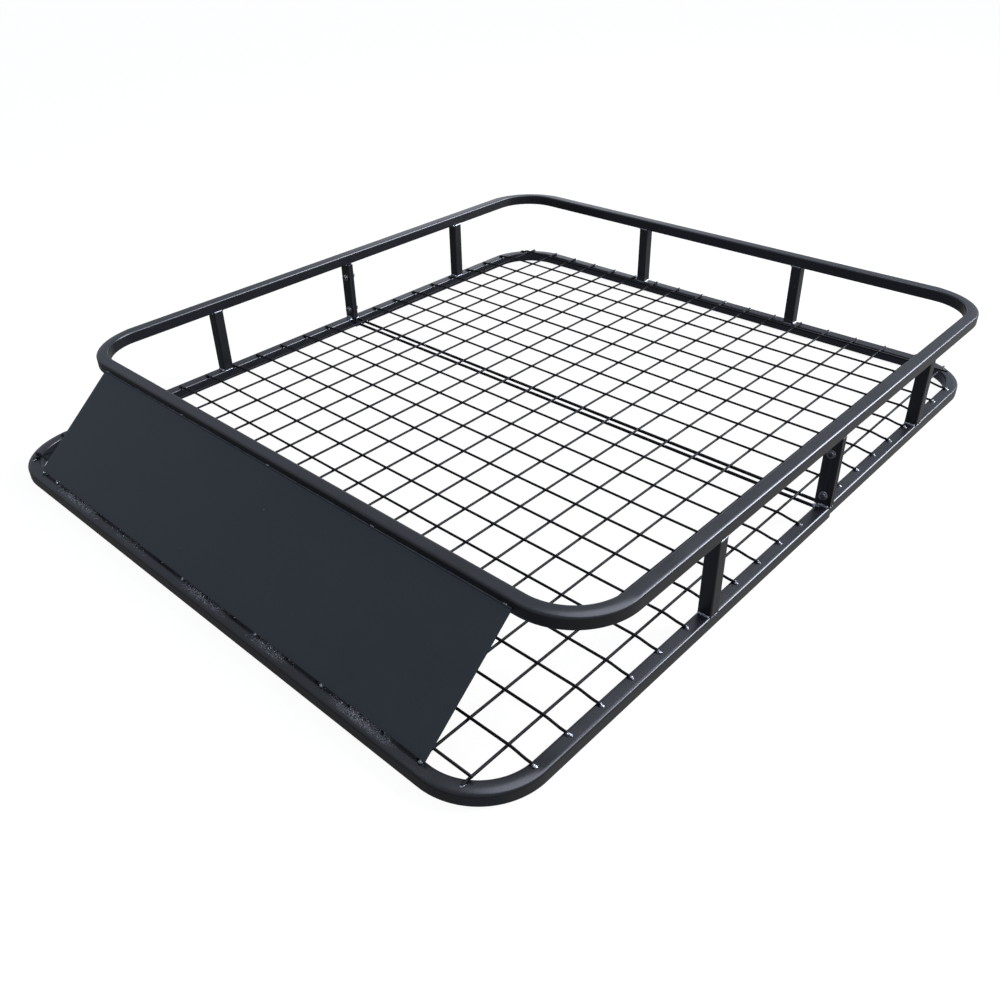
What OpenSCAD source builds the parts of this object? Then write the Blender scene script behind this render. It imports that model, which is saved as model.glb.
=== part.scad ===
// Roof cargo basket in two bolted halves: bent square-tube rails, welded wire floor, sheet fairing.
// Millimetres. Origin at the centre of the underside. +X is the right side, +Y the rear, +Z up.

/* [Overall size] */
// Width over the front half's bottom rail
basket_w = 1016; // [970:1:1100]
// Length over the bottom rails
basket_l = 1219; // [1205:1:1400]
// Height from the underside of the bottom rail to the top of the top rail
basket_h = 148; // [120:1:200]
// Length of the rear half, behind the joint
rear_l = 527; // [515:1:541]
// How far the top rail stands back from the bottom rail at the front
top_setback = 147; // [110:1:180]
// How far the rear half's bottom rail lies inside the front half's, on each side
rear_inset = 3; // [0:0.5:5]

/* [Tube] */
// Outside width of the square tube
tube = 19; // [16:0.5:22]
// Wall thickness of the square tube
tube_wall = 1.5; // [1:0.1:1.9]
// Outside radius of the tube's four long edges
tube_edge_r = 2.5; // [2:0.1:4]
// Outside radius of the rails' bends, seen from above
bend_r = 92; // [70:1:120]

/* [Posts and joint] */
// Distance from the joint to the middle of each side post
side_post_y = 294; // [240:1:320]
// Distance from the centre line to the middle of each rear post
rear_post_x = 168; // [150:1:200]
// Width of the flat joint plates
plate_w = 23; // [20:0.5:30]
// Thickness of each joint plate
plate_t = 5; // [3:0.5:8]
// Gap between the two halves at the joint
joint_gap = 0.4; // [0.2:0.1:1]
// Height of the lower joint bolts above the bottom rail
lower_bolt_z = 17; // [12:1:30]
// Distance of the upper joint bolts below the top rail
upper_bolt_z = 27; // [12:1:35]

/* [Joint fasteners] */
// Thread diameter of the joint bolts
bolt_d = 6; // [5:1:8]
// Clearance on the diameter of the bolt holes in the plates
bolt_clearance = 0.6; // [0.4:0.1:1]
// Width across flats of the bolt heads and nuts
hex_af = 10; // [8:0.5:13]
// Thickness of the bolt heads
head_h = 4; // [3:0.1:6]
// Thickness of the nuts
nut_h = 5; // [4:0.1:8]
// Outside diameter of the washers
washer_d = 12; // [11:0.5:15]
// Thickness of the washers
washer_t = 1.6; // [1:0.1:2]
// Length of thread that stands out of each nut
thread_out = 3; // [1:0.5:6]

/* [Wire floor] */
// Distance between floor wires, both ways
wire_pitch = 54; // [50:0.5:55]
// Diameter of the floor wires
wire_d = 3.5; // [2.5:0.1:5]
// Number of lengthwise wires in each half
long_wires = 18; // [12:2:18]
// Number of crosswise wires in the front half
front_cross_wires = 12; // [8:1:12]
// Number of crosswise wires in the rear half
rear_cross_wires = 9; // [6:1:9]
// Distance from the joint to the front half's first crosswise wire
front_first_y = 65.5; // [30:0.5:67]
// Distance from the joint to the rear half's first crosswise wire
rear_first_y = 54.5; // [40:0.5:72]
// Diameter of the round floor bar on each side of the joint
bar_d = 5; // [4:0.5:8]
// Distance from the joint to the middle of the front half's floor bar
front_bar_y = 10; // [4.5:0.5:16]
// Distance from the joint to the middle of the rear half's floor bar
rear_bar_y = 4.5; // [3:0.5:16]
// How far the wires reach onto the right rail
right_lap = 6; // [4:0.5:12]
// How far the wires reach onto the left rail
left_lap = 10; // [4:0.5:12]
// How far the outermost lengthwise wires, beside the fairing, reach onto the front rail
front_lap = 10; // [4:0.5:12]
// How far the wires reach onto the rear rail
rear_lap = 14; // [4:0.5:16]
// Diameter of the weld pads that carry the ends of the crosswise wires
pad_d = 6; // [4:0.5:8]

/* [Fairing] */
// Width of the fairing sheet
fairing_w = 828; // [700:1:840]
// Thickness of the fairing sheet
fairing_t = 1.5; // [1:0.1:2.5]
// How far the fairing's lower edge reaches over the front rail
fairing_lap = 4; // [2:0.5:6]
// How far the slope reaches above the top rail's underside
fairing_rise = 7; // [3:0.5:10]
// Height of the upright lip above the slope, welded to the top rail's outer face
flange_h = 3; // [2:0.5:7]

/* [Hidden] */
$fn = 48;
steel = [0.17, 0.18, 0.20];
dark_steel = [0.12, 0.12, 0.14];
sheet_steel = [0.20, 0.22, 0.25];
zinc = [0.55, 0.56, 0.58];

half_w = basket_w / 2;
rear_half_w = half_w - rear_inset;
front_y = -basket_l / 2;
rear_y = basket_l / 2;
joint_y = rear_y - rear_l;
top_front_y = front_y + top_setback;
top_z = basket_h - tube;
post_l = top_z - tube;

long_wire_z = tube + wire_d / 2;
cross_wire_z = long_wire_z + wire_d;
plate_x = half_w - plate_w / 2;
bolt_heights = [tube + lower_bolt_z, top_z - upper_bolt_z];
half_stack = joint_gap / 2 + plate_t;

SIDES = [["left", -1], ["right", 1]];
CROSS_FRONT = [for (i = [1 : front_cross_wires]) str("front_cross_wire_", i)];
CROSS_REAR = [for (i = [1 : rear_cross_wires]) str("rear_cross_wire_", i)];

// ---- Shapes that repeat ----

// A square with round corners, centred
module round_square(size, r) {
    flat = size - 2 * r;
    square([size, flat], center = true);
    square([flat, size], center = true);
    for (x = [-1, 1], y = [-1, 1])
        translate([x * flat / 2, y * flat / 2])
            circle(r);
}

// The tube's hollow cross-section
module tube_section() {
    difference() {
        round_square(tube, tube_edge_r);
        round_square(tube - 2 * tube_wall, tube_edge_r - tube_wall);
    }
}

// A straight tube that stands on z = 0
module upright_tube(l) {
    linear_extrude(l)
        tube_section();
}

// A U-shaped rail lying on z = 0, open towards +Y at y = 0, with its far side at y = -l
module bent_rail(w, l) {
    mid_r = bend_r - tube / 2;
    leg = l - bend_r;
    translate([0, 0, tube / 2]) {
        for (side = [-1, 1])
            translate([side * (w - tube) / 2, 0, 0])
                rotate([90, 0, 0])
                    upright_tube(leg);
        translate([w / 2 - bend_r, -leg, 0])
            rotate([0, 0, -90])
                rotate_extrude(angle = 90)
                    translate([mid_r, 0])
                        tube_section();
        translate([bend_r - w / 2, -leg, 0])
            rotate([0, 0, 180])
                rotate_extrude(angle = 90)
                    translate([mid_r, 0])
                        tube_section();
        translate([bend_r - w / 2, tube / 2 - l, 0])
            rotate([0, 90, 0])
                upright_tube(w - 2 * bend_r);
    }
}

module hexagon_prism(h) {
    cylinder(h = h, d = hex_af / cos(30), $fn = 6);
}

// Repeats its child at the four joint bolts, with the child's +Z along the basket's +Y
module at_joint_bolts() {
    for (side = [-1, 1], z = bolt_heights)
        translate([side * plate_x, joint_y, z])
            rotate([-90, 0, 0])
                children();
}

// ---- Where the wires end ----

// How far in from an end rail's outer face a lengthwise wire at x ends
function end_inset(x, w, lap) =
    let (over = abs(x) - (w - bend_r), r = bend_r - tube + lap)
    over <= 0 ? tube - lap : bend_r - sqrt(r * r - over * over);

// How far out from the centre line a crosswise wire ends, when it lies dy beyond the bend's centre
function cross_reach(dy, w, lap) =
    let (r = bend_r - tube + lap)
    dy <= 0 ? w - tube + lap : w - bend_r + sqrt(r * r - dy * dy);

function long_x(i) = (i - (long_wires + 1) / 2) * wire_pitch;
function front_cross_y(i) = joint_y - front_first_y - (i - 1) * wire_pitch;
function rear_cross_y(i) = joint_y + rear_first_y + (i - 1) * wire_pitch;

// A wire that runs into a side post stops at the post's inner face
function meets_post(y) = abs(abs(y - joint_y) - side_post_y) < (tube + wire_d) / 2 + 1;

// Under the fairing a lengthwise wire ends 1 mm past the sheet's lower edge
function front_end_lap(x) = abs(x) < fairing_w / 2 ? fairing_lap + 1 : front_lap;

function front_cross_end(y, lap) =
    meets_post(y) ? half_w - tube : cross_reach(front_y + bend_r - y, half_w, lap);
function rear_cross_end(y, lap) =
    meets_post(y) ? rear_half_w - tube : cross_reach(y - rear_y + bend_r, rear_half_w, lap);

// The front half's foremost crosswise wire stops at the outermost lengthwise wire on the right
function front_right_end(i) =
    i == front_cross_wires ? long_x(long_wires) + wire_d : front_cross_end(front_cross_y(i), right_lap);

module long_wire(x, y_start, y_end) {
    translate([x, y_start, long_wire_z])
        rotate([-90, 0, 0])
            cylinder(h = y_end - y_start, d = wire_d);
}

module cross_wire(y, x_left, x_right) {
    translate([x_left, y, cross_wire_z])
        rotate([0, 90, 0])
            cylinder(h = x_right - x_left, d = wire_d);
}

module pad(x, y) {
    translate([x, y, tube])
        cylinder(h = wire_d, d = pad_d);
}

// ---- Rails ----

module front_bottom_rail() {
    color(steel)
        translate([0, joint_y - joint_gap / 2, 0])
            bent_rail(basket_w, basket_l - rear_l - joint_gap / 2);
}

module rear_bottom_rail() {
    color(steel)
        translate([0, joint_y + joint_gap / 2, 0])
            mirror([0, 1, 0])
                bent_rail(2 * rear_half_w, rear_l - joint_gap / 2);
}

module front_top_rail() {
    color(steel)
        translate([0, joint_y - joint_gap / 2, top_z])
            bent_rail(basket_w, joint_y - joint_gap / 2 - top_front_y);
}

module rear_top_rail() {
    color(steel)
        translate([0, joint_y + joint_gap / 2, top_z])
            mirror([0, 1, 0])
                bent_rail(basket_w, rear_l - joint_gap / 2);
}

// ---- Posts ----

module front_side_post(side) {
    color(steel)
        translate([side * (half_w - tube / 2), joint_y - side_post_y, tube])
            upright_tube(post_l);
}

module rear_side_post(side) {
    color(steel)
        translate([side * (rear_half_w - tube / 2), joint_y + side_post_y, tube])
            upright_tube(post_l);
}

module rear_post(side) {
    color(steel)
        translate([side * rear_post_x, rear_y - tube / 2, tube])
            upright_tube(post_l);
}

// ---- Joint ----

// A flat bar between the rails' ends; towards is -1 on the front half and 1 on the rear half
module joint_plate(side, towards) {
    color(dark_steel)
        difference() {
            translate([side * plate_x, joint_y + towards * (joint_gap + plate_t) / 2, tube + post_l / 2])
                cube([plate_w, plate_t, post_l], center = true);
            at_joint_bolts()
                cylinder(h = 4 * plate_t, d = bolt_d + bolt_clearance, center = true);
        }
}

module floor_bar(w, y) {
    color(dark_steel)
        translate([tube - w / 2, y, tube - bar_d / 2])
            rotate([0, 90, 0])
                cylinder(h = w - 2 * tube, d = bar_d);
}

module joint_bolts() {
    color(zinc)
        at_joint_bolts() {
            translate([0, 0, -half_stack - washer_t - head_h])
                hexagon_prism(head_h);
            translate([0, 0, -half_stack - washer_t])
                cylinder(h = 2 * (half_stack + washer_t) + nut_h + thread_out, d = bolt_d);
        }
}

module joint_washers() {
    color(zinc)
        at_joint_bolts()
            for (z = [-half_stack - washer_t, half_stack])
                translate([0, 0, z])
                    difference() {
                        cylinder(h = washer_t, d = washer_d);
                        translate([0, 0, -washer_t])
                            cylinder(h = 3 * washer_t, d = bolt_d + bolt_clearance);
                    }
}

module joint_nuts() {
    color(zinc)
        at_joint_bolts()
            translate([0, 0, half_stack + washer_t])
                difference() {
                    hexagon_prism(nut_h);
                    translate([0, 0, -1])
                        cylinder(h = nut_h + 2, d = bolt_d + 0.1);
                }
}

// ---- Wire floor ----

module front_long_wires() {
    color(dark_steel)
        for (i = [1 : long_wires]) {
            x = long_x(i);
            long_wire(x, front_y + end_inset(x, half_w, front_end_lap(x)), joint_y - 1);
        }
}

module rear_long_wires() {
    color(dark_steel)
        for (i = [1 : long_wires]) {
            x = long_x(i);
            long_wire(x, joint_y + 1, rear_y - end_inset(x, rear_half_w, rear_lap));
        }
}

module front_cross_wire(i) {
    y = front_cross_y(i);
    color(dark_steel)
        cross_wire(y, -front_cross_end(y, left_lap), front_right_end(i));
}

module rear_cross_wire(i) {
    y = rear_cross_y(i);
    color(dark_steel)
        cross_wire(y, -rear_cross_end(y, left_lap), rear_cross_end(y, right_lap));
}

module front_wire_pads() {
    color(steel)
        for (i = [1 : front_cross_wires]) {
            y = front_cross_y(i);
            pad(pad_d / 2 - front_cross_end(y, left_lap), y);
            if (i < front_cross_wires)
                pad(front_cross_end(y, right_lap) - pad_d / 2, y);
        }
}

module rear_wire_pads() {
    color(steel)
        for (i = [1 : rear_cross_wires]) {
            y = rear_cross_y(i);
            if (!meets_post(y)) {
                pad(pad_d / 2 - rear_cross_end(y, left_lap), y);
                pad(rear_cross_end(y, right_lap) - pad_d / 2, y);
            }
        }
}

// ---- Fairing ----

// One bent sheet: an upright lip on the top rail's outer face, then a slope down to the wires
module fairing() {
    low = [front_y + tube - fairing_lap, tube + wire_d];
    bend = [top_front_y, top_z + fairing_rise];
    run = norm(bend - low);
    out = [low[1] - bend[1], bend[0] - low[0]] * fairing_t / run;
    outer_bend_z = bend[1] + (fairing_t * run - fairing_t * (bend[1] - low[1])) / (bend[0] - low[0]);
    section = [
        low,
        bend,
        bend + [0, flange_h],
        bend + [-fairing_t, flange_h],
        [bend[0] - fairing_t, outer_bend_z],
        low + out
    ];
    color(sheet_steel)
        translate([-fairing_w / 2, 0, 0])
            rotate([90, 0, 90])
                linear_extrude(fairing_w)
                    polygon(section);
}

// ---- One line per node ----

front_bottom_rail();
rear_bottom_rail();
front_top_rail();
rear_top_rail();
for (s = SIDES) {
    front_side_post(s[1]);
    rear_side_post(s[1]);
    rear_post(s[1]);
    joint_plate(s[1], -1);
    joint_plate(s[1], 1);
}
floor_bar(basket_w, joint_y - front_bar_y);  // front_floor_bar
floor_bar(2 * rear_half_w, joint_y + rear_bar_y);  // rear_floor_bar
front_long_wires();
rear_long_wires();
for (i = [1 : front_cross_wires])
    front_cross_wire(i);
for (i = [1 : rear_cross_wires])
    rear_cross_wire(i);
front_wire_pads();
rear_wire_pads();
fairing();
joint_bolts();
joint_washers();
joint_nuts();
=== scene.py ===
"""Looks for the roof cargo basket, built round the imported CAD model. Metres, in the CAD frame.

+X is the basket's right side, +Y its rear, +Z up. Every piece rides on the one body, "root".
"""

import math
import random

import bmesh
import bpy
from mathutils import Matrix, Vector, noise


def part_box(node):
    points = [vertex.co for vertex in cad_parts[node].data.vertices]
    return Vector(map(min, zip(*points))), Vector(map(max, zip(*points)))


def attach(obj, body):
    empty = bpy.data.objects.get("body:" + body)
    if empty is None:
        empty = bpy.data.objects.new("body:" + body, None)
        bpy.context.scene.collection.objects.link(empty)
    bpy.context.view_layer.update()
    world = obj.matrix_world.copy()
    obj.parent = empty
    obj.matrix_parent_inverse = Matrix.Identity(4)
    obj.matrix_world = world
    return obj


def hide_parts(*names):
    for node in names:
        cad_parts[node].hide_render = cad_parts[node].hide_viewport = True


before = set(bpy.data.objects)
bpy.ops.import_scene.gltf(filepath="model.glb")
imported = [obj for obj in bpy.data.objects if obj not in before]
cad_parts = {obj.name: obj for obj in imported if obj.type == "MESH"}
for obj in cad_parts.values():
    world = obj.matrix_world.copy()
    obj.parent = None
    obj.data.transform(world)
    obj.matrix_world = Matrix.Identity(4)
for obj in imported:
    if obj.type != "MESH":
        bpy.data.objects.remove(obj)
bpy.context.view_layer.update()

MM = 0.001
BODY = "root"
TURN = 2 * math.pi
UP = Vector((0, 0, 1))
SIDES = (("left", -1), ("right", 1))

# ---- Places, worked out from the frame ----

FRONT_RAIL_LO, FRONT_RAIL_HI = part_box("front_bottom_rail")
REAR_RAIL_LO, REAR_RAIL_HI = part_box("rear_bottom_rail")
TUBE = FRONT_RAIL_HI.z
TOP_RAIL_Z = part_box("front_top_rail")[0].z
FRONT_Y = FRONT_RAIL_LO.y
JOINT_Y = (FRONT_RAIL_HI.y + REAR_RAIL_LO.y) / 2
FRONT_CROSS = sorted(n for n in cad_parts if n.startswith("front_cross_wire_"))
REAR_CROSS = sorted(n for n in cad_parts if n.startswith("rear_cross_wire_"))
WIRE_R = (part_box("front_cross_wire_1")[1].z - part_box("front_cross_wire_1")[0].z) / 2
WIRE_PITCH = abs(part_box("front_cross_wire_1")[0].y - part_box("front_cross_wire_2")[0].y)


def middle(node):
    """The middle of a node's box."""
    lo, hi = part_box(node)
    return (lo + hi) / 2


def long_wires(node):
    """The x of each lengthwise wire of a node, with its lowest and highest y, read from the node's mesh.

    The wires lie half a space off whole multiples of the wire pitch.
    """
    ends = {}
    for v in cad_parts[node].data.vertices:
        key = math.floor(v.co.x / WIRE_PITCH)
        lo, hi = ends.get(key, (v.co.y, v.co.y))
        ends[key] = (min(lo, v.co.y), max(hi, v.co.y))
    return [((key + 0.5) * WIRE_PITCH, lo, hi) for key, (lo, hi) in sorted(ends.items())]


# ---- Camera ----

CAMERA_AT = Vector((0.915, -1.0135, 0.7813))
CAMERA_AIM = Vector((0.1507, -0.2378, 0.0812))
CAMERA_ROLL = math.radians(-2.1)
CAMERA_LENS = 34.64
CAMERA_SENSOR = 36.0
CAMERA_SHIFT = (0.0223, -0.0275)


def make_camera():
    data = bpy.data.cameras.new("camera")
    data.lens = CAMERA_LENS
    data.sensor_width = CAMERA_SENSOR
    data.shift_x, data.shift_y = CAMERA_SHIFT
    data.clip_start, data.clip_end = 0.01, 200.0
    cam = bpy.data.objects.new("camera", data)
    bpy.context.scene.collection.objects.link(cam)
    cam.location = CAMERA_AT
    cam.rotation_mode = "QUATERNION"
    aim = (CAMERA_AIM - CAMERA_AT).to_track_quat("-Z", "Y")
    roll = Matrix.Rotation(CAMERA_ROLL, 4, "Z").to_quaternion()
    cam.rotation_quaternion = aim @ roll
    bpy.context.scene.camera = cam


make_camera()

# ---- Materials ----


class Nodes:
    """A short way to write a node tree."""

    def __init__(self, tree):
        self.tree = tree

    def add(self, kind, **settings):
        node = self.tree.nodes.new(kind)
        for key, value in settings.items():
            setattr(node, key, value)
        return node

    def put(self, socket, value):
        if isinstance(value, bpy.types.NodeSocket):
            self.tree.links.new(value, socket)
        else:
            socket.default_value = value

    def math(self, operation, a, b=0.0):
        node = self.add("ShaderNodeMath", operation=operation)
        self.put(node.inputs[0], a)
        self.put(node.inputs[1], b)
        return node.outputs[0]

    def remap(self, value, from_lo, from_hi, to_lo=0.0, to_hi=1.0, smooth=False):
        node = self.add("ShaderNodeMapRange", interpolation_type="SMOOTHSTEP" if smooth else "LINEAR")
        self.put(node.inputs["Value"], value)
        limits = {"From Min": from_lo, "From Max": from_hi, "To Min": to_lo, "To Max": to_hi}
        for name, number in limits.items():
            self.put(node.inputs[name], number)
        return node.outputs["Result"]

    def noise(self, where, scale, detail, rough):
        node = self.add("ShaderNodeTexNoise")
        self.put(node.inputs["Vector"], where)
        node.inputs["Scale"].default_value = scale
        node.inputs["Detail"].default_value = detail
        node.inputs["Roughness"].default_value = rough
        return node.outputs["Fac"]

    def mix(self, factor, a, b):
        node = self.add("ShaderNodeMix", data_type="RGBA")
        self.put(node.inputs["Factor"], factor)
        for socket, value in zip([s for s in node.inputs if s.type == "RGBA"], (a, b)):
            self.put(socket, value)
        return [s for s in node.outputs if s.type == "RGBA"][0]

    def bump(self, height, distance, below=None):
        node = self.add("ShaderNodeBump")
        self.put(node.inputs["Height"], height)
        node.inputs["Distance"].default_value = distance
        if below is not None:
            self.put(node.inputs["Normal"], below)
        return node.outputs["Normal"]


def new_material(name):
    """A material, its node tree, its texture coordinate and the inputs of its shader."""
    mat = bpy.data.materials.new(name)
    mat.use_nodes = True
    nodes = Nodes(mat.node_tree)
    where = nodes.add("ShaderNodeTexCoord").outputs["Object"]
    return mat, nodes, where, mat.node_tree.nodes["Principled BSDF"].inputs


def shade(colour, factor):
    """A colour made lighter or darker, with its alpha."""
    return (colour[0] * factor, colour[1] * factor, colour[2] * factor, 1)


def specks(nodes, where, cell, radius, share):
    """A mask of small round specks: one in a cell of that size, kept in that share of the cells."""
    voronoi = nodes.add("ShaderNodeTexVoronoi")
    nodes.put(voronoi.inputs["Vector"], where)
    voronoi.inputs["Scale"].default_value = 1 / cell
    dot = nodes.math("LESS_THAN", voronoi.outputs["Distance"], radius / cell)
    split = nodes.add("ShaderNodeSeparateColor")
    nodes.put(split.inputs[0], voronoi.outputs["Color"])
    kept = nodes.math("LESS_THAN", split.outputs[0], share)
    return nodes.math("MULTIPLY", dot, kept)


PEEL_DEPTH = 0.006 * MM
DUST_COLOUR = (0.30, 0.31, 0.33, 1)
DUST_CELL = 34 * MM
DUST_R = 0.55 * MM


def powder_coat(name, colour, roughness, tone=0.18, peel_size=1.3 * MM, dust=0.3):
    """Sprayed and baked powder: orange peel, slow changes of tone and gloss, and a little dust."""
    mat, nodes, where, inputs = new_material(name)
    cloud = nodes.noise(where, 14, 5, 0.6)
    fine = nodes.noise(where, 420, 3, 0.6)
    base = nodes.mix(nodes.remap(cloud, 0.35, 0.65), shade(colour, 1 - tone), shade(colour, 1 + tone))
    grain = nodes.remap(fine, 0.56, 0.72)
    base = nodes.mix(nodes.math("MULTIPLY", grain, 0.25), base, shade(colour, 2.2))
    spots = specks(nodes, where, DUST_CELL, DUST_R, dust)
    nodes.put(inputs["Base Color"], nodes.mix(spots, base, DUST_COLOUR))
    nodes.put(inputs["Roughness"], nodes.remap(cloud, 0.3, 0.7, roughness - 0.02, roughness + 0.03))
    height = nodes.noise(where, 1 / peel_size, 1.5, 0.4)
    nodes.put(inputs["Normal"], nodes.bump(height, PEEL_DEPTH))
    return mat, nodes, where, inputs


RAIL_COLOUR = (0.0100, 0.0108, 0.0135)
RAIL_ROUGHNESS = 0.27
rail_coat = powder_coat("rail_coat", RAIL_COLOUR, RAIL_ROUGHNESS)[0]
post_coat = powder_coat("post_coat", (0.0095, 0.0098, 0.0115), 0.36)[0]
plate_coat = powder_coat("plate_coat", (0.010, 0.0102, 0.012), 0.38)[0]


def wire_material():
    """The wires' thin coat, less glossy than the tubes'."""
    colour = (0.0035, 0.0035, 0.0045)
    mat, _, _, inputs = powder_coat("wire_coat", colour, 0.50, peel_size=0.8 * MM, dust=0.0)
    inputs["Specular IOR Level"].default_value = 0.12
    return mat


wire_coat = wire_material()


def fairing_material():
    """The sheet's coat, worn thin along the top edge."""
    colour, worn_colour = (0.0165, 0.0235, 0.0310), (0.10, 0.107, 0.118, 1)
    mat, nodes, where, inputs = powder_coat(
        "fairing_coat", colour, 0.48, tone=0.10, peel_size=1.1 * MM, dust=0.35
    )
    split = nodes.add("ShaderNodeSeparateXYZ")
    nodes.put(split.inputs[0], where)
    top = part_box("fairing")[1].z
    edge = nodes.remap(split.outputs[2], top - 1.1 * MM, top - 0.4 * MM, smooth=True)
    wear = nodes.remap(nodes.noise(where, 60, 3, 0.6), 0.30, 0.62, 0.25, 1.0)
    base = inputs["Base Color"].links[0].from_socket
    nodes.put(inputs["Base Color"], nodes.mix(nodes.math("MULTIPLY", edge, wear), base, worn_colour))
    return mat


fairing_coat = fairing_material()

# Where weld spatter lies on the front rail: x of the middle, half its length, how thick it is
SPATTER = (
    (-0.30, 0.060, 1.0),
    (-0.16, 0.05, 0.3),
    (0.02, 0.05, 0.65),
    (0.157, 0.035, 0.6),
    (0.32, 0.045, 1.0),
)
# How far back on the rail's top it starts and ends
SPATTER_Y = (FRONT_Y + 3 * MM, FRONT_Y + 16 * MM)


def spattered_coat():
    """The front rail's coat: rough and speckled along its top, where the fairing was tacked down."""
    mat, nodes, where, inputs = powder_coat("spattered_coat", RAIL_COLOUR, RAIL_ROUGHNESS)
    split = nodes.add("ShaderNodeSeparateXYZ")
    nodes.put(split.inputs[0], where)
    x, y, z = split.outputs
    along = 0.0
    for at, half, thick in SPATTER:
        distance = nodes.math("ABSOLUTE", nodes.math("SUBTRACT", x, at))
        patch = nodes.remap(distance, 0.3 * half, 1.3 * half, thick, 0.0, smooth=True)
        along = nodes.math("MAXIMUM", along, patch)
    begins = nodes.remap(y, SPATTER_Y[0], SPATTER_Y[0] + 4 * MM, smooth=True)
    ends = nodes.remap(y, SPATTER_Y[1], SPATTER_Y[1] + 2 * MM, 1, 0, smooth=True)
    across = nodes.math("MULTIPLY", begins, ends)
    on_top = nodes.remap(z, TUBE - 1.2 * MM, TUBE - 0.2 * MM, smooth=True)
    place = nodes.math("MULTIPLY", nodes.math("MULTIPLY", along, across), on_top)
    crust = nodes.remap(nodes.noise(where, 480, 4, 0.7), 0.46, 0.56)
    dabs = nodes.remap(nodes.noise(where, 170, 3, 0.6), 0.40, 0.54)
    mask = nodes.math("MULTIPLY", place, nodes.math("MULTIPLY", crust, dabs))
    base = inputs["Base Color"].links[0].from_socket
    nodes.put(inputs["Base Color"], nodes.mix(mask, base, (0.15, 0.155, 0.165, 1)))
    rough = inputs["Roughness"].links[0].from_socket
    nodes.put(inputs["Roughness"], nodes.math("ADD", rough, nodes.math("MULTIPLY", mask, 0.2)))
    smooth = inputs["Normal"].links[0].from_socket
    nodes.put(inputs["Normal"], nodes.bump(nodes.math("MULTIPLY", crust, place), 0.25 * MM, smooth))
    return mat


def weld_material():
    """Weld metal with little powder left on it: dark, with lighter patches and a painted highlight on the
    crests.
    """
    mat, nodes, where, inputs = new_material("weld_coat")
    patches = nodes.noise(where, 260, 4, 0.65)
    pointy = nodes.add("ShaderNodeNewGeometry").outputs["Pointiness"]
    # The crests get a lighter, more reflective colour: a painted highlight
    crest = nodes.remap(pointy, 0.50, 0.58)
    base = nodes.mix(nodes.remap(patches, 0.4, 0.62), (0.035, 0.035, 0.040, 1), (0.16, 0.165, 0.180, 1))
    nodes.put(inputs["Base Color"], nodes.mix(crest, base, (0.36, 0.37, 0.40, 1)))
    inputs["Metallic"].default_value = 0.85
    nodes.put(inputs["Roughness"], nodes.remap(patches, 0.35, 0.65, 0.24, 0.42))
    nodes.put(inputs["Normal"], nodes.bump(nodes.noise(where, 700, 3, 0.6), 0.12 * MM))
    return mat


def spatter_material():
    """Droplets of bare weld metal: light grey, oxidised in patches."""
    mat, nodes, where, inputs = new_material("spatter")
    patches = nodes.noise(where, 300, 3, 0.6)
    base = nodes.mix(nodes.remap(patches, 0.4, 0.6), (0.07, 0.07, 0.075, 1), (0.26, 0.26, 0.27, 1))
    nodes.put(inputs["Base Color"], base)
    inputs["Metallic"].default_value = 0.5
    nodes.put(inputs["Roughness"], nodes.remap(patches, 0.3, 0.7, 0.3, 0.5))
    return mat


def zinc_material():
    """Dark zinc plate: faint streaks, dulled in places, and lighter along the rounded edges, partly wear
    and partly a painted glint.
    """
    mat, nodes, where, inputs = new_material("dark_zinc")
    patches = nodes.noise(where, 180, 4, 0.6)
    streaks = nodes.noise(where, 1500, 2, 0.5)
    pointy = nodes.add("ShaderNodeNewGeometry").outputs["Pointiness"]
    base = nodes.mix(nodes.remap(patches, 0.35, 0.65), (0.035, 0.035, 0.040, 1), (0.095, 0.095, 0.105, 1))
    # The pointy edges get a lighter, more reflective colour: partly wear, partly a painted glint
    worn = nodes.remap(pointy, 0.515, 0.56)
    nodes.put(inputs["Base Color"], nodes.mix(worn, base, (0.45, 0.45, 0.47, 1)))
    inputs["Metallic"].default_value = 0.85
    nodes.put(inputs["Roughness"], nodes.remap(patches, 0.3, 0.7, 0.26, 0.46))
    nodes.put(inputs["Normal"], nodes.bump(streaks, 0.01 * MM))
    return mat


spattered = spattered_coat()
weld_coat = weld_material()
spatter_metal = spatter_material()
zinc = zinc_material()


def dress_cad_nodes():
    """Gives each CAD node that stays in view its material."""
    for name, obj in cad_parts.items():
        if "post" in name:
            look = post_coat
        elif "plate" in name:
            look = plate_coat
        else:
            look = wire_coat
        for material_slot in obj.material_slots:
            material_slot.material = look


dress_cad_nodes()

# ---- Shapes ----


class Shape:
    """The vertices and faces of one piece."""

    def __init__(self):
        self.verts = []
        self.faces = []

    def add(self, verts, faces):
        start = len(self.verts)
        self.verts.extend(verts)
        self.faces.extend([start + i for i in face] for face in faces)

    def skin(self, rows, ring=False):
        """Joins closed rows of points. A ring's last row joins its first; other shapes get end caps."""
        around = len(rows[0])
        faces = []
        for i in range(len(rows) if ring else len(rows) - 1):
            n = (i + 1) % len(rows)
            for k in range(around):
                j = (k + 1) % around
                faces.append((i * around + k, i * around + j, n * around + j, n * around + k))
        if not ring:
            faces.append(tuple(reversed(range(around))))
            faces.append(tuple((len(rows) - 1) * around + k for k in range(around)))
        self.add([v for row in rows for v in row], faces)


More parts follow.
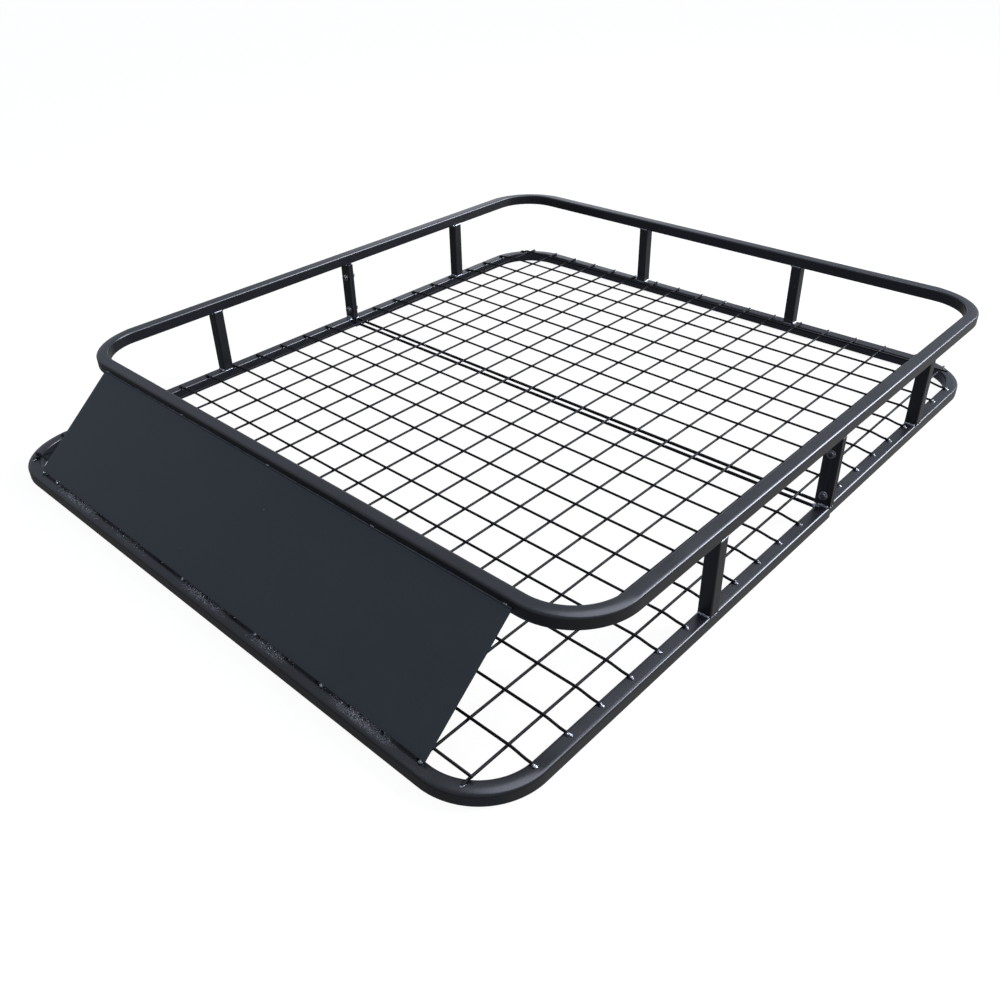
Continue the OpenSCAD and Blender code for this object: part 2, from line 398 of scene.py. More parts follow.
def make_piece(name, shape, material, replaces, sharp_angle):
    """Turns a shape into an object on the body, smooth except at edges over sharp_angle degrees."""
    mesh = bpy.data.meshes.new(name)
    mesh.from_pydata([tuple(v) for v in shape.verts], [], shape.faces)
    work = bmesh.new()
    work.from_mesh(mesh)
    bmesh.ops.recalc_face_normals(work, faces=work.faces)
    for face in work.faces:
        face.smooth = True
    for edge in work.edges:
        if edge.is_manifold and edge.calc_face_angle() > math.radians(sharp_angle):
            edge.smooth = False
    work.to_mesh(mesh)
    work.free()
    mesh.materials.append(material)
    obj = bpy.data.objects.new(name, mesh)
    bpy.context.scene.collection.objects.link(obj)
    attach(obj, BODY)
    if replaces:
        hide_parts(*replaces)
    return obj


def unit_ball(level):
    """The vertices and faces of a ball of radius 1. A higher level has smaller faces."""
    work = bmesh.new()
    bmesh.ops.create_icosphere(work, subdivisions=level, radius=1.0)
    verts = [v.co.copy() for v in work.verts]
    faces = [[v.index for v in f.verts] for f in work.faces]
    work.free()
    return verts, faces


BALLS = {level: unit_ball(level) for level in (1, 2, 3)}


def blob(shape, at, size, rng, level, lumps, lump_size=1.4):
    """A lump of weld: a ball of half-sizes `size`, turned at random about Z and dented by noise."""
    ball, faces = BALLS[level]
    shift = Vector([rng.uniform(-50, 50) for _ in range(3)])
    turn = Matrix.Rotation(rng.uniform(-0.35, 0.35), 3, "Z")
    verts = []
    for v in ball:
        grow = 1 + lumps * noise.noise(v * lump_size + shift)
        verts.append(Vector(at) + turn @ Vector((v.x * size[0], v.y * size[1], v.z * size[2])) * grow)
    shape.add(verts, faces)


def even_path(points, step):
    """The polyline's points, with others between them at about that step."""
    out = [Vector(points[0])]
    for a, b in zip(points, points[1:]):
        a, b = Vector(a), Vector(b)
        count = max(1, round((b - a).length / step))
        out.extend(a.lerp(b, (i + 1) / count) for i in range(count))
    return out


BEAD_STEP = 0.6 * MM
BEAD_SIDES = 10
RIPPLE = 1.6 * MM
RIPPLE_DEPTH = 0.12
BEAD_GRAIN = 420


def bead(shape, points, radius, rng, rough, up=UP):
    """A run of weld along a path: overlapping ripples, uneven width, round ends."""
    path = even_path(points, BEAD_STEP)
    total = sum((b - a).length for a, b in zip(path, path[1:]))
    shift = Vector([rng.uniform(-50, 50) for _ in range(3)])
    rows = []
    run = 0.0
    for i, p in enumerate(path):
        ahead = path[min(i + 1, len(path) - 1)] - path[max(i - 1, 0)]
        tangent = ahead.normalized()
        side = tangent.cross(up).normalized()
        over = side.cross(tangent).normalized()
        if i:
            run += (p - path[i - 1]).length
        from_end = min(run, total - run) / radius
        taper = math.sqrt(max(0.0, 1 - (1 - min(1.0, from_end)) ** 2)) * 0.92 + 0.08
        wave = (run / RIPPLE) % 1
        row = []
        for k in range(BEAD_SIDES):
            a = TURN * k / BEAD_SIDES
            out = side * math.cos(a) + over * math.sin(a)
            lump = rough * noise.noise(p * BEAD_GRAIN + out * 0.7 + shift)
            grow = 1 + RIPPLE_DEPTH * (wave - 0.5) + lump
            row.append(p + out * radius * taper * grow)
        rows.append(row)
    shape.skin(rows)


def turned(shape, rows, place, steps=72, ring=False):
    """A shape round the Z axis. Each row is a function of the angle that gives (radius, height)."""
    loops = []
    for row in rows:
        loop = []
        for s in range(steps):
            a = TURN * s / steps
            radius, height = row(a)
            loop.append(place @ Vector((radius * math.cos(a), radius * math.sin(a), height)))
        loops.append(loop)
    shape.skin(loops, ring)


def circle(radius, height):
    """A round row."""
    return lambda angle: (radius, height)


# ---- Joint fasteners: M6 bolts, washers and nuts ----

BOLTS_LO, BOLTS_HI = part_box("joint_bolts")
NUTS_LO, NUTS_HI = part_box("joint_nuts")
WASHERS_LO, WASHERS_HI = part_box("joint_washers")
PLATE_LO, PLATE_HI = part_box("front_joint_plate_right")
BOLT_X = (PLATE_LO.x + PLATE_HI.x) / 2
BOLT_R = 3 * MM
THREAD_PITCH = 1 * MM
THREAD_DEPTH = 0.55 * MM
HEX_HALF = (NUTS_HI.x - BOLT_X) * math.cos(TURN / 12)
HEAD_L = WASHERS_LO.y - BOLTS_LO.y
NUT_L = NUTS_HI.y - NUTS_LO.y
WASHER_T = NUTS_LO.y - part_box("rear_joint_plate_right")[1].y
WASHER_R = WASHERS_HI.x - BOLT_X
BOLT_ZS = (BOLTS_LO.z + HEX_HALF, BOLTS_HI.z - HEX_HALF)
CHAMFER = math.tan(math.radians(30))
# Where the chamfer starts, and how wide a nut's end faces and a head's washer face are
CHAMFER_R = HEX_HALF * 0.97
FACE_R = HEX_HALF * 0.95
HEAD_EDGE_R = 0.7 * MM
HEAD_DISH = 0.35 * MM
THREAD_L = 9 * MM
# How far the shank reaches into the head
IN_HEAD = 0.3 * MM
ROWS_PER_THREAD = 6
# How far the heads are turned, in degrees: one side of each faces up and to the right
HEAD_TURN = (36, 46)


def hexagon(angle):
    """How far a hexagon's side is from its middle."""
    return HEX_HALF / math.cos(angle % (TURN / 6) - TURN / 12)


def chamfer_cut(angle):
    """How far the 30 degree chamfer has dropped from an end face where it meets the hexagon's side."""
    return max(0.0, hexagon(angle) - CHAMFER_R) * CHAMFER


def hex_row(height, inset=0.0):
    """A row on a hexagon's side, or that far inside it."""
    return lambda angle: (hexagon(angle) - inset, height)


def chamfer_row(face, inwards):
    """Where a chamfer meets the hexagon's side. inwards is 1 or -1, from the end face into the nut."""
    return lambda angle: (hexagon(angle), face + inwards * chamfer_cut(angle))


def soft_row(tilt):
    """A row on the rounded edge between a head's chamfer and its sides, where it tilts that far."""
    inset = HEAD_EDGE_R * (1 - math.sin(tilt))
    drop = HEAD_EDGE_R * (1 - math.cos(tilt))
    return lambda angle: (hexagon(angle) - inset, chamfer_cut(angle) + drop)


def bolt_place(side, z, y, rng, turn_range=(0, 60)):
    """A frame with its Z along a bolt to the rear, turned at random within those degrees."""
    turn = Matrix.Rotation(math.radians(rng.uniform(*turn_range)), 4, "Z")
    return Matrix.Translation((side * BOLT_X, y, z)) @ Matrix.Rotation(-TURN / 4, 4, "X") @ turn


def bolt_head(shape, place, height):
    """From the top of the head down to its washer face, with a shallow dish in the top."""
    turned(shape, [
        circle(0.4 * MM, HEAD_DISH),
        circle(CHAMFER_R * 0.60, HEAD_DISH),
        circle(CHAMFER_R * 0.68, 0.0),
        circle(CHAMFER_R * 0.84, 0.0),
        *(soft_row(math.radians(tilt)) for tilt in (25, 45, 65, 90)),
        hex_row(height - 0.45 * MM),
        hex_row(height - 0.25 * MM, 0.2 * MM),
        circle(FACE_R, height - 0.22 * MM),
        circle(FACE_R, height),
    ], place)


def threaded_rod(shape, place, length):
    """A shank whose last stretch is a real helical thread, chamfered at its end."""
    rows = [circle(BOLT_R, 0.0), circle(BOLT_R, length - THREAD_L - 0.4 * MM)]
    count = round(THREAD_L / THREAD_PITCH * ROWS_PER_THREAD)

    def thread_row(height):
        """A row across the thread: its ridge has a flat crest, sloping flanks and a flat root."""
        def row(angle):
            phase = (height / THREAD_PITCH - angle / TURN) % 1
            ridge = min(1.0, max(0.0, 1.25 - abs(phase - 0.5) * 3.2))
            radius = BOLT_R - THREAD_DEPTH * (1 - ridge)
            end_chamfer = BOLT_R - 0.7 * MM + (length - height)
            return min(radius, end_chamfer), height
        return row

    rows += [thread_row(length - THREAD_L + THREAD_L * i / count) for i in range(count + 1)]
    turned(shape, rows, place, steps=48)


def nut(shape, place, height):
    """Chamfered at both ends, with a countersunk bore that clears the bolt."""
    bore = BOLT_R + 0.12 * MM
    sink_r, sink_depth = bore + 0.7 * MM, 0.6 * MM
    turned(shape, [
        circle(FACE_R, 0.0),
        chamfer_row(0.03 * MM, 1),
        chamfer_row(height - 0.03 * MM, -1),
        circle(FACE_R, height),
        circle(sink_r, height),
        circle(bore, height - sink_depth),
        circle(bore, sink_depth),
        circle(sink_r, 0.0),
    ], place, ring=True)


def washer(shape, place):
    """A stamped washer: round outer edge on one face, sharp on the other."""
    inner = BOLT_R + 0.3 * MM
    turned(shape, [
        circle(inner, 0.1 * MM),
        circle(inner + 0.15 * MM, 0.0),
        circle(WASHER_R - 0.45 * MM, 0.0),
        circle(WASHER_R - 0.13 * MM, 0.13 * MM),
        circle(WASHER_R, 0.45 * MM),
        circle(WASHER_R, WASHER_T - 0.06 * MM),
        circle(WASHER_R - 0.06 * MM, WASHER_T),
        circle(inner + 0.06 * MM, WASHER_T),
        circle(inner, WASHER_T - 0.06 * MM),
    ], place, ring=True)


def make_fasteners():
    """At each bolt: the bolt, a washer under its head, a washer behind the plates and a nut."""
    bolts, washers, nuts = Shape(), Shape(), Shape()
    rng = random.Random(11)
    for _, side in SIDES:
        for z in BOLT_ZS:
            head = bolt_place(side, z, BOLTS_LO.y, rng, HEAD_TURN)
            bolt_head(bolts, head, HEAD_L)
            shank = Matrix.Translation((0, HEAD_L - IN_HEAD, 0)) @ head
            threaded_rod(bolts, shank, BOLTS_HI.y - WASHERS_LO.y + IN_HEAD)
            washer(washers, bolt_place(side, z, WASHERS_LO.y, rng))
            washer(washers, bolt_place(side, z, NUTS_LO.y - WASHER_T, rng))
            nut(nuts, bolt_place(side, z, NUTS_LO.y, rng), NUT_L)
    for name, shape, replaced in (
        ("hex_bolts", bolts, "joint_bolts"),
        ("flat_washers", washers, "joint_washers"),
        ("hex_nuts", nuts, "joint_nuts"),
    ):
        make_piece(name, shape, zinc, [replaced], 28)


make_fasteners()

# ---- Rails: bent square tubes, drawn thin on the outside of their bends ----

TUBE_EDGE_R = 2.5 * MM
TUBE_WALL = 1.5 * MM
# The bends' outer radius, as in the CAD model
BEND_OUT_R = 92 * MM
# How far a bend's top sinks at its outer edge
SQUASH = 2.6 * MM
BEND_STEPS = 36
EDGE_STEPS = 5
LOOP_STEP = 2 * MM


def tube_loop():
    """The tube's outline, a square with round corners, as (out, up) points."""
    flat = TUBE / 2 - TUBE_EDGE_R
    points = []
    for corner, (out, up) in enumerate(((1, 1), (-1, 1), (-1, -1), (1, -1))):
        for i in range(EDGE_STEPS + 1):
            a = TURN * (corner + i / EDGE_STEPS) / 4
            arc = TUBE_EDGE_R * Vector((math.cos(a), math.sin(a), 0))
            points.append(Vector((out * flat, up * flat, 0)) + arc)
    return even_path(points + points[:1], LOOP_STEP)[:-1]


def rail_path(lo, hi, end):
    """A U-shaped rail's stations: x, y, outward x and y, how far into a bend. end is -1 in front."""
    mid_r = BEND_OUT_R - TUBE / 2
    far = lo.y + BEND_OUT_R if end < 0 else hi.y - BEND_OUT_R
    tail = hi.y if end < 0 else lo.y
    path = [(lo.x + TUBE / 2, tail, -1, 0, 0.0)]
    for side, start in ((-1, 180), (1, 270)):
        centre_x = side * (hi.x - BEND_OUT_R)
        for i in range(BEND_STEPS + 1):
            a = math.radians(start + 90 * i / BEND_STEPS)
            out_x, out_y = math.cos(a), -end * math.sin(a)
            deep = math.sin(math.pi * i / BEND_STEPS) ** 0.7
            path.append((centre_x + mid_r * out_x, far + mid_r * out_y, out_x, out_y, deep))
    path.append((hi.x - TUBE / 2, tail, 1, 0, 0.0))
    return path


def make_rail(node, material):
    """A tube open at both ends: its outer skin, then its inner skin back again."""
    lo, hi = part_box(node)
    z = (lo.z + hi.z) / 2
    path = rail_path(lo, hi, -1 if "front" in node else 1)
    loop = tube_loop()
    rows = []
    for half, stations in ((TUBE / 2, path), (TUBE / 2 - TUBE_WALL, path[::-1])):
        shrink = half / (TUBE / 2)
        for x, y, out_x, out_y, deep in stations:
            row = []
            for p in loop:
                out, up = p.x * shrink, p.y * shrink
                outwards = max(0.0, (out / half + 0.2) / 1.2)
                drop = deep * SQUASH * outwards ** 2.2
                up -= drop * (0.5 + 0.5 * up / half)
                row.append(Vector((x + out_x * out, y + out_y * out, z + up)))
            rows.append(row)
    shape = Shape()
    shape.skin(rows, ring=True)
    make_piece(node + "_tube", shape, material, [node], 40)


make_rail("front_top_rail", rail_coat)
make_rail("rear_top_rail", rail_coat)
make_rail("front_bottom_rail", spattered)
make_rail("rear_bottom_rail", rail_coat)

# ---- Joint plates: the CAD solids, with their cut edges rounded ----


def round_edges(obj, radius):
    """Rounds an object's sharp edges, and gives the new modifier."""
    bevel = obj.modifiers.new("edges", "BEVEL")
    bevel.width = radius
    bevel.segments = 3
    bevel.limit_method = "ANGLE"
    bevel.angle_limit = math.radians(50)
    return bevel


def round_plate_edges():
    """The CAD mesh's vertices are joined first, so that its faces share edges."""
    for half in ("front", "rear"):
        for side, _ in SIDES:
            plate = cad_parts["%s_joint_plate_%s" % (half, side)]
            weld = plate.modifiers.new("weld", "WELD")
            weld.merge_threshold = 0.01 * MM
            round_edges(plate, 0.5 * MM).harden_normals = True


round_plate_edges()

# ---- Fairing: one bent sheet ----

FAIRING_LO, FAIRING_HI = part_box("fairing")
SHEET_T = 1.5 * MM
FOLD_R = 2.5 * MM
# Columns along the sheet, and rows up its slope and round its fold
SHEET_COLUMNS = 120
SLOPE_STEPS = 26
FOLD_STEPS = 6
# How far the slope waves in and out, and which way is out: its y and z
WAVE = 0.35 * MM
WAVE_OUT = (-0.63, 0.77)


def fairing_profile():
    """The sheet's back face as (y, z) points: the slope, the fold as an arc, the lip."""
    bend = Vector((FAIRING_HI.y, fairing_bend_z()))
    low = Vector((fairing_low_y(), FAIRING_LO.z))
    slope = (bend - low).normalized()
    turn = math.acos(slope.y)
    start = bend - slope * FOLD_R * math.tan(turn / 2)
    centre = start + Vector((-slope.y, slope.x)) * FOLD_R
    points = [low.lerp(start, i / SLOPE_STEPS) for i in range(SLOPE_STEPS + 1)]
    for i in range(1, FOLD_STEPS + 1):
        a = turn * i / FOLD_STEPS
        points.append(centre + Matrix.Rotation(a, 2) @ (start - centre))
    points.append(Vector((bend.x, FAIRING_HI.z)))
    return points


def fairing_low_y():
    """The y of the back face's lowest corner: the rearmost vertex at the sheet's lowest height."""
    low_z = FAIRING_LO.z + 0.05 * MM
    return max(v.co.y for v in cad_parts["fairing"].data.vertices if v.co.z < low_z)


def fairing_bend_z():
    """The z of the lowest vertex on the lip's back face."""
    back_y = FAIRING_HI.y - 0.05 * MM
    return min(v.co.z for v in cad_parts["fairing"].data.vertices if v.co.y > back_y)


def make_fairing():
    """Slightly wavy between its lower edge and its fold, as thin sheet is, and flat along the lip."""
    profile = fairing_profile()
    verts = []
    for c in range(SHEET_COLUMNS + 1):
        x = FAIRING_LO.x + (FAIRING_HI.x - FAIRING_LO.x) * c / SHEET_COLUMNS
        for i, p in enumerate(profile):
            free = math.sin(math.pi * min(1.0, i / SLOPE_STEPS))
            long_wave = noise.noise(Vector((x * 5.5, p.x * 9, 3.1)))
            short_wave = noise.noise(Vector((x * 15, p.x * 17, 8.3)))
            push = WAVE * free * (long_wave + 0.4 * short_wave)
            verts.append(Vector((x, p.x + WAVE_OUT[0] * push, p.y + WAVE_OUT[1] * push)))
    rows = len(profile)
    faces = [
        (c * rows + i, (c + 1) * rows + i, (c + 1) * rows + i + 1, c * rows + i + 1)
        for c in range(SHEET_COLUMNS) for i in range(rows - 1)
    ]
    shape = Shape()
    shape.add(verts, faces)
    obj = make_piece("fairing_sheet", shape, fairing_coat, ["fairing"], 60)
    faces_up = sum(p.normal.z for p in obj.data.polygons) > 0
    solid = obj.modifiers.new("thickness", "SOLIDIFY")
    solid.thickness = SHEET_T
    solid.offset = 1.0 if faces_up else -1.0
    round_edges(obj, 0.35 * MM)


make_fairing()

# ---- Crosswise wires ----

WIRE_SIDES = 16
# Beside the last lengthwise wire, where the bend down to the rail starts
BEND_START = 2.5 * MM
BEND_ROWS = 12
# How much of the wire's end lies flat on the rail
FLAT_END = 6 * MM
# A wire that goes on for less than this past the last lengthwise wire stays straight
SHORTEST_BEND = 12 * MM
# Its cut end is slightly chamfered
TIP_L = 0.3 * MM
TIP_R = 0.8 * WIRE_R


def make_cross_wire(node):
    """A crosswise wire: straight over the lengthwise wires, then pressed down onto the rail at each end."""
    lo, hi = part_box(node)
    y, z = (lo.y + hi.y) / 2, (lo.z + hi.z) / 2
    half = node.split("_")[0]
    crossed = [x for x, start, end in long_wires(half + "_long_wires") if start < y < end]

    def end_stations(side, end):
        """From the wire's end inwards: x, z and radius."""
        start = side * (max(side * x for x in crossed) + BEND_START)
        bends = side * (end - start) > SHORTEST_BEND
        drop = z - (TUBE + WIRE_R) if bends else 0.0
        stations = [(end, z - drop, TIP_R), (end - side * TIP_L, z - drop, WIRE_R)]
        if bends:
            flat = end - side * FLAT_END
            for i in range(BEND_ROWS + 1):
                t = i / BEND_ROWS
                stations.append((flat + (start - flat) * t, z - drop * (1 - t * t * (3 - 2 * t)), WIRE_R))
        return stations

    stations = end_stations(-1, lo.x) + end_stations(1, hi.x)[::-1]
    angles = [TURN * k / WIRE_SIDES for k in range(WIRE_SIDES)]
    shape = Shape()
    shape.skin([[(x, y + r * math.cos(a), up + r * math.sin(a)) for a in angles] for x, up, r in stations])
    make_piece(node + "_bent", shape, wire_coat, [node], 60)


for wire in FRONT_CROSS + REAR_CROSS:
    make_cross_wire(wire)

# ---- Welds at the wires' ends and crossings ----

# How far above the rail a crosswise wire's weld may reach
CROSS_WELD_RISE = 3.2 * MM


def make_welds(name, shape, replaces=()):
    """A piece of lumpy weld metal, smooth all over."""
    make_piece(name, shape, weld_coat, replaces, 180)


def wire_end_weld(shape, at, inward, rng):
    """Overlapping lumps round a wire's end and down to the rail; inward points back along the wire."""
    rise = at.z - TUBE
    for i, height in enumerate((0.45, 0.7, 0.85)):
        size = rng.uniform(1.5, 2.2) * MM
        place = at + inward * (1.6 * i - 2.0 + rng.uniform(-0.3, 0.3)) * MM
        place.y += rng.uniform(-0.8, 0.8) * MM * abs(inward.x)
        place.x += rng.uniform(-0.8, 0.8) * MM * abs(inward.y)
        place.z = TUBE + 0.2 * MM
        blob(shape, place, (size, size, rise * height * rng.uniform(0.85, 1.15)), rng, 3, 0.42, 1.9)


def make_cross_wire_welds(half, nodes):
    """Welds at the crosswise wires' ends. A wire that stops short of the right rail has none there."""
    shape = Shape()
    rng = random.Random(len(nodes))
    z = TUBE + CROSS_WELD_RISE
    for node in nodes:
        lo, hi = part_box(node)
        y = (lo.y + hi.y) / 2
        wire_end_weld(shape, Vector((lo.x + 0.5 * MM, y, z)), Vector((1, 0, 0)), rng)
        reaches_right_rail = hi.x > REAR_RAIL_HI.x - 1.4 * TUBE
        if reaches_right_rail:
            wire_end_weld(shape, Vector((hi.x + 0.5 * MM, y, z)), Vector((-1, 0, 0)), rng)
    make_welds(half + "_cross_wire_welds", shape, [half + "_wire_pads"])


make_cross_wire_welds("front", FRONT_CROSS)
make_cross_wire_welds("rear", REAR_CROSS)


def make_long_wire_welds(half, rail_end):
    """Welds where the lengthwise wires end on a rail, and where they cross the floor bar."""
    on_rail, on_bar = Shape(), Shape()
    rng = random.Random(half)
    bar_y = middle(half + "_floor_bar").y
    for x, lo, hi in long_wires(half + "_long_wires"):
        end_y = lo + 1 * MM if rail_end < 0 else hi - 1 * MM
        under_fairing = rail_end < 0 and abs(x) < FAIRING_HI.x
        if under_fairing:
            at = (x, end_y + 2 * MM, TUBE + 0.5 * MM)
            blob(on_rail, at, (2.6 * MM, 3.2 * MM, 1.9 * MM), rng, 2, 0.35)
        else:
            wire_end_weld(on_rail, Vector((x, end_y, TUBE + WIRE_R)), Vector((0, -rail_end, 0)), rng)
        for side in (-1, 1):
            at = (x + side * WIRE_R, bar_y + rng.uniform(-0.4, 0.4) * MM, TUBE - 0.1 * MM)
            blob(on_bar, at, (1.3 * MM, 1.7 * MM, 1.0 * MM), rng, 2, 0.35)
    make_welds(half + "_long_wire_welds", on_rail)
    make_welds(half + "_bar_welds", on_bar)


make_long_wire_welds("front", -1)
make_long_wire_welds("rear", 1)


def make_crossing_welds(half, nodes):
    """The small squashed fillets where two wires were pressed and welded together."""
    shape = Shape()
    rng = random.Random(half + "_crossings")
    columns = [x for x, _, _ in long_wires(half + "_long_wires")]
    z = TUBE + 2 * WIRE_R
    for node in nodes:
        lo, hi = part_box(node)
        y = (lo.y + hi.y) / 2
        for x in columns:
            if lo.x < x < hi.x:
                size = (rng.uniform(1.5, 2.0) * MM, rng.uniform(1.5, 2.0) * MM, 0.85 * MM)
                blob(shape, (x, y, z), size, rng, 2, 0.3)
    make_welds(half + "_crossing_welds", shape)


make_crossing_welds("front", FRONT_CROSS)
make_crossing_welds("rear", REAR_CROSS)

# ---- Welds at the posts ----

# Each run's radius, how far it stops short of the corners, and for a fillet how far it stands off the
# rail, for a flush run how far it is sunk into the rail and in from its side
FILLET_R, FILLET_SHORT, FILLET_OFF = 2.2 * MM, 1.5 * MM, 0.3 * MM
FLUSH_R, FLUSH_SHORT, FLUSH_SUNK, FLUSH_IN = 1.6 * MM, 1 * MM, 0.5 * MM, 1.1 * MM


def make_post_welds(node):
    """Fillets on the two faces across a rail's flat, flush runs on the two that line up with its sides."""
    lo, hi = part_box(node)
    on_side_rail = "side" in node
    across, along = ((lo.x, hi.x), (lo.y, hi.y)) if on_side_rail else ((lo.y, hi.y), (lo.x, hi.x))

    def spot(across_at, along_at, z):
        """A point from its places across and along the rail."""
        return (across_at, along_at, z) if on_side_rail else (along_at, across_at, z)

    shape = Shape()
    rng = random.Random(node)
    for z, up in ((lo.z, 1), (hi.z, -1)):
        for end, inwards in ((0, 1), (1, -1)):
            reach = (across[0] + FILLET_SHORT, across[1] - FILLET_SHORT)
            fillet = [spot(at, along[end], z + up * FILLET_OFF) for at in reach]
            bead(shape, fillet, FILLET_R, rng, rough=0.3)
            seam = across[end] + inwards * FLUSH_IN
            reach = (along[0] + FLUSH_SHORT, along[1] - FLUSH_SHORT)
            flush = [spot(seam, at, z - up * FLUSH_SUNK) for at in reach]
            bead(shape, flush, FLUSH_R, rng, rough=0.2)
    make_welds(node + "_welds", shape)


for post in sorted(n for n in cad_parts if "post" in n):
    make_post_welds(post)

# ---- Welds at the joint ----


def make_joint_welds(side_name, side):
    """Fillets at the plates' feet and heads, rings round the floor bars' ends, lumps over the front one."""
    shape = Shape()
    rng = random.Random(side_name + "_joint")
    for half, face in (("front", -1), ("rear", 1)):
        lo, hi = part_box("%s_joint_plate_%s" % (half, side_name))
        y = lo.y if face < 0 else hi.y
        inner, outer = sorted((abs(lo.x), abs(hi.x)))
        start = max(inner, outer - TUBE) + 1 * MM
        for z, up, radius in ((lo.z, 1, 2.7 * MM), (hi.z, -1, 2.1 * MM)):
            run = [(side * x, y, z + 0.4 * MM * up) for x in (start, outer - 1.6 * MM)]
            bead(shape, run, radius, rng, rough=0.38)
        edge = side * (outer - 0.9 * MM)
        ends = sorted((y - face * 1 * MM, y - face * 4.2 * MM))
        bead(shape, [(edge, ends[0], lo.z), (edge, ends[1], lo.z)], 1.5 * MM, rng, rough=0.25)
        bar_lo, bar_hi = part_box(half + "_floor_bar")
        ring_r = (bar_hi.z - bar_lo.z) / 2 + 0.2 * MM
        bar = middle(half + "_floor_bar")
        ring = [
            (bar_hi.x * side, bar.y + ring_r * math.cos(a), bar.z + ring_r * math.sin(a))
            for a in [math.radians(d) for d in range(-40, 221, 20)]
        ]
        bead(shape, ring, 1.7 * MM, rng, up=Vector((1, 0, 0)), rough=0.3)
    lump_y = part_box("front_floor_bar")[0].y
    for _ in range(4):
        x = side * (PLATE_LO.x + rng.uniform(3, 9) * MM)
        at = (x, lump_y + rng.uniform(1, 4) * MM, TUBE + 0.4 * MM)
        blob(shape, at, (2.6 * MM, 2.2 * MM, 1.5 * MM), rng, 3, 0.4)
    make_welds("joint_welds_" + side_name, shape)


for side_name, side in SIDES:
    make_joint_welds(side_name, side)

# ---- Welds on the fairing ----

# Where the sheet's lower edge is tacked to the front rail
TACK_XS = (-0.409, -0.368, -0.027, 0.128, 0.251, 0.408)
# Where its lip is welded to the top rail
STITCH_XS = (-0.405, -0.20, 0.0, 0.20, 0.405)


def make_fairing_welds():
    """A tack is two lumps up the sheet's lower edge, a stitch a short run along the lip's top."""
    shape = Shape()
    rng = random.Random("fairing")
    low = fairing_low_y()
    for x in TACK_XS:
        for i in range(2):
            at = (x + rng.uniform(-1, 1) * MM, low - (1.2 - 1.8 * i) * MM, TUBE + (1.6 + 1.4 * i) * MM)
            blob(shape, at, (2.4 * MM, 2.2 * MM, 2.1 * MM), rng, 3, 0.4)
    for x in STITCH_XS:
        reach = rng.uniform(2.5, 4) * MM
        y, z = FAIRING_HI.y - 0.3 * MM, FAIRING_HI.z
        bead(shape, [(x - reach, y, z), (x + reach, y, z)], 0.9 * MM, rng, rough=0.3)
    make_welds("fairing_welds", shape)


make_fairing_welds()


# How many droplets a patch of spatter has where it is thickest
DROPLETS = 190


def make_spatter():
    """Droplets of weld on top of the front rail."""
    shape = Shape()
    rng = random.Random("spatter")
    for at, half, thick in SPATTER:
        for _ in range(int(DROPLETS * thick)):
            x = rng.gauss(at, half * 0.55)
            y = rng.triangular(SPATTER_Y[0] + 2 * MM, SPATTER_Y[1], SPATTER_Y[1] - 3 * MM)
            size = rng.uniform(0.2, 0.75) * MM
            blob(shape, (x, y, TUBE), (size * 1.2, size, size * 0.7), rng, 1, 0.2)
    make_piece("weld_spatter", shape, spatter_metal, (), 180)


make_spatter()

# ---- Stage and light ----

FLOOR_WHITE = 0.93


def make_plane(name, z, size_x, size_y):
    """A flat sheet at that height, centred under the basket."""
    mesh = bpy.data.meshes.new(name)
    corners = [(sx * size_x / 2, sy * size_y / 2, z) for sx, sy in ((-1, -1), (1, -1), (1, 1), (-1, 1))]
    mesh.from_pydata(corners, [], [(0, 1, 2, 3)])
    plane = bpy.data.objects.new(name, mesh)
    bpy.context.scene.collection.objects.link(plane)
    return plane


def glowing_material(name, colour, glow, strength):
    """A dull surface that also gives off light."""
    mat = bpy.data.materials.new(name)
    mat.use_nodes = True
    inputs = mat.node_tree.nodes["Principled BSDF"].inputs
    inputs["Base Color"].default_value = colour
    inputs["Roughness"].default_value = 1.0
    inputs["Specular IOR Level"].default_value = 0.0
    inputs["Emission Color"].default_value = glow
    inputs["Emission Strength"].default_value = strength
    return mat


def make_floor():
    """A plain white floor that glows, so that shadows on it stay faint. The basket doesn't reflect it."""
    floor = make_plane("floor", -0.1 * MM, 120, 120)
    floor.data.materials.append(glowing_material("floor", (0.12, 0.12, 0.12, 1), (1, 1, 1, 1), FLOOR_WHITE))
    floor.visible_glossy = False
    floor.visible_diffuse = False


def make_painted_shadow_card():
    """A dim glowing sheet under the basket, seen only in its reflections: a painted shadow that stands in
    for the floor in the basket's shade and keeps inner faces dark.
    """
    card = make_plane("painted_shadow_card", -1 * MM, 1.0, 1.2)
    # Its dim bluish glow is painted shade: the floor as it would look in the basket's shadow
    mat = glowing_material("painted_shadow_card", (0.003, 0.003, 0.004, 1), (0.19, 0.21, 0.26, 1), 1.0)
    card.data.materials.append(mat)
    card.visible_camera = False
    card.visible_shadow = False


GROUND_DARK, GROUND_BRIGHT = 0.11, 0.34
SKY = Vector((0.42, 0.46, 0.54))
GLOW = Vector((0.75, 0.77, 0.82))
GLOW_TOWARDS = Vector((-0.63, 0.71, 0.30))


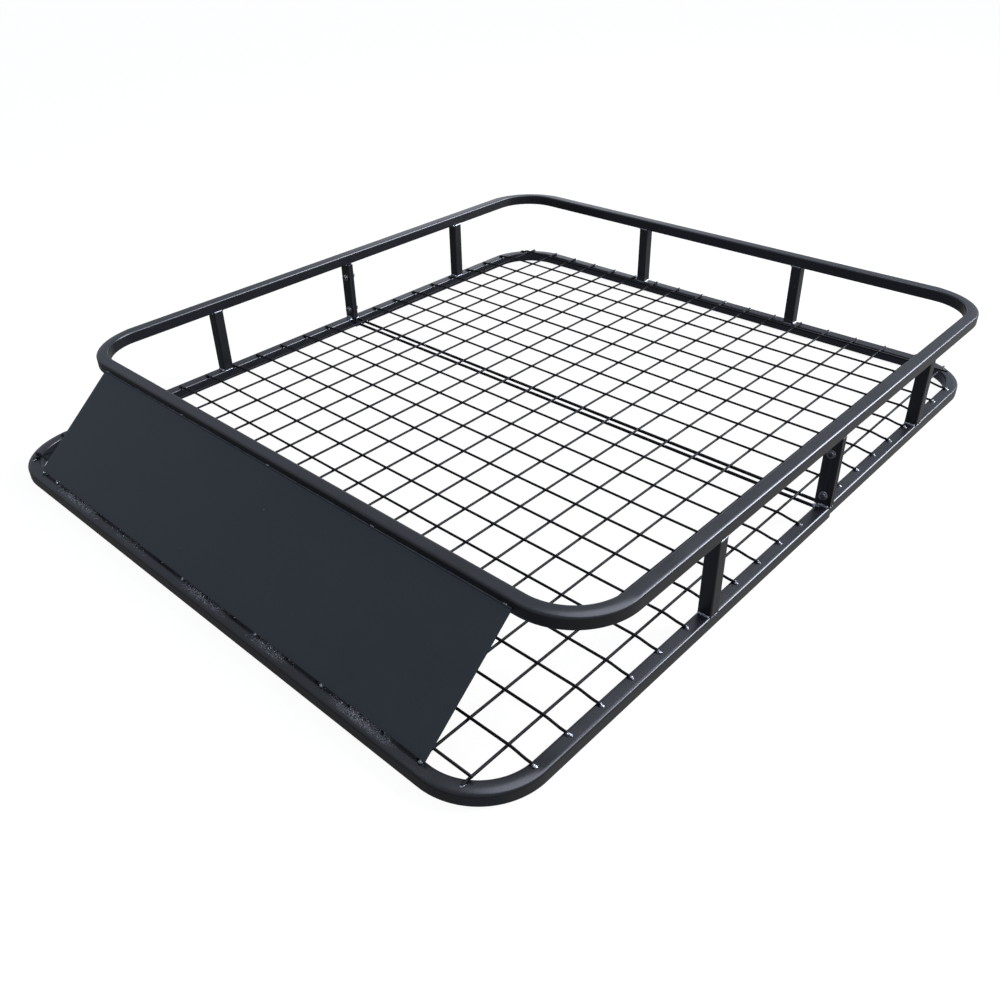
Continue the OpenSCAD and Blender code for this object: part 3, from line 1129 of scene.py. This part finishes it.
def make_world():
    """A soft sky with a glow low on the rear left, over a ground that is brightest at the rear right."""
    world = bpy.data.worlds.new("world")
    bpy.context.scene.world = world
    world.use_nodes = True
    nodes = Nodes(world.node_tree)
    towards = nodes.add("ShaderNodeTexCoord").outputs["Generated"]
    split = nodes.add("ShaderNodeSeparateXYZ")
    nodes.put(split.inputs[0], towards)
    x, y, z = split.outputs
    ground = nodes.remap(nodes.math("ADD", x, y), -1.2, 1.2, GROUND_DARK, GROUND_BRIGHT)
    grey = nodes.add("ShaderNodeCombineColor")
    for socket in grey.inputs[:3]:
        nodes.put(socket, ground)
    near = nodes.add("ShaderNodeVectorMath", operation="DOT_PRODUCT")
    nodes.put(near.inputs[0], towards)
    near.inputs[1].default_value = GLOW_TOWARDS.normalized()
    glow = nodes.remap(near.outputs["Value"], 0.965, 1.0, smooth=True)
    sky = nodes.mix(glow, (*SKY, 1), (*(SKY + GLOW), 1))
    above = nodes.remap(z, -0.12, 0.1, smooth=True)
    background = world.node_tree.nodes["Background"]
    nodes.put(background.inputs["Color"], nodes.mix(above, grey.outputs[0], sky))
    background.inputs["Strength"].default_value = 1.0


def make_light(name, towards, distance, size, power, colour=(1, 1, 1)):
    """A round area light at that distance in that direction, aimed at the basket."""
    data = bpy.data.lights.new(name, "AREA")
    data.color = colour
    data.shape = "DISK"
    data.size = size
    data.energy = power
    light = bpy.data.objects.new(name, data)
    bpy.context.scene.collection.objects.link(light)
    light.location = Vector(towards).normalized() * distance
    light.rotation_mode = "QUATERNION"
    light.rotation_quaternion = (-light.location).to_track_quat("-Z", "Y")
    light.visible_camera = False
    return light


COOL = (0.90, 0.95, 1.10)

make_floor()
make_painted_shadow_card()
make_world()
# The key light lights the surfaces, but doesn't show in their reflections
make_light("key", (0.55, 0.59, 0.58), 3.0, 1.1, 80).visible_glossy = False
# Two panels that show only in reflections: a bright one at the rear right that draws the rails' outer
# edges, and a wide dim one overhead that rolls over the bends
make_light("edge_panel", (0.52, 0.69, 0.50), 3.6, 2.3, 215, COOL).visible_diffuse = False
make_light("overhead_panel", (0.37, 0.38, 0.85), 3.6, 5.0, 240, COOL).visible_diffuse = False
bpy.context.scene.view_settings.view_transform = "Standard"
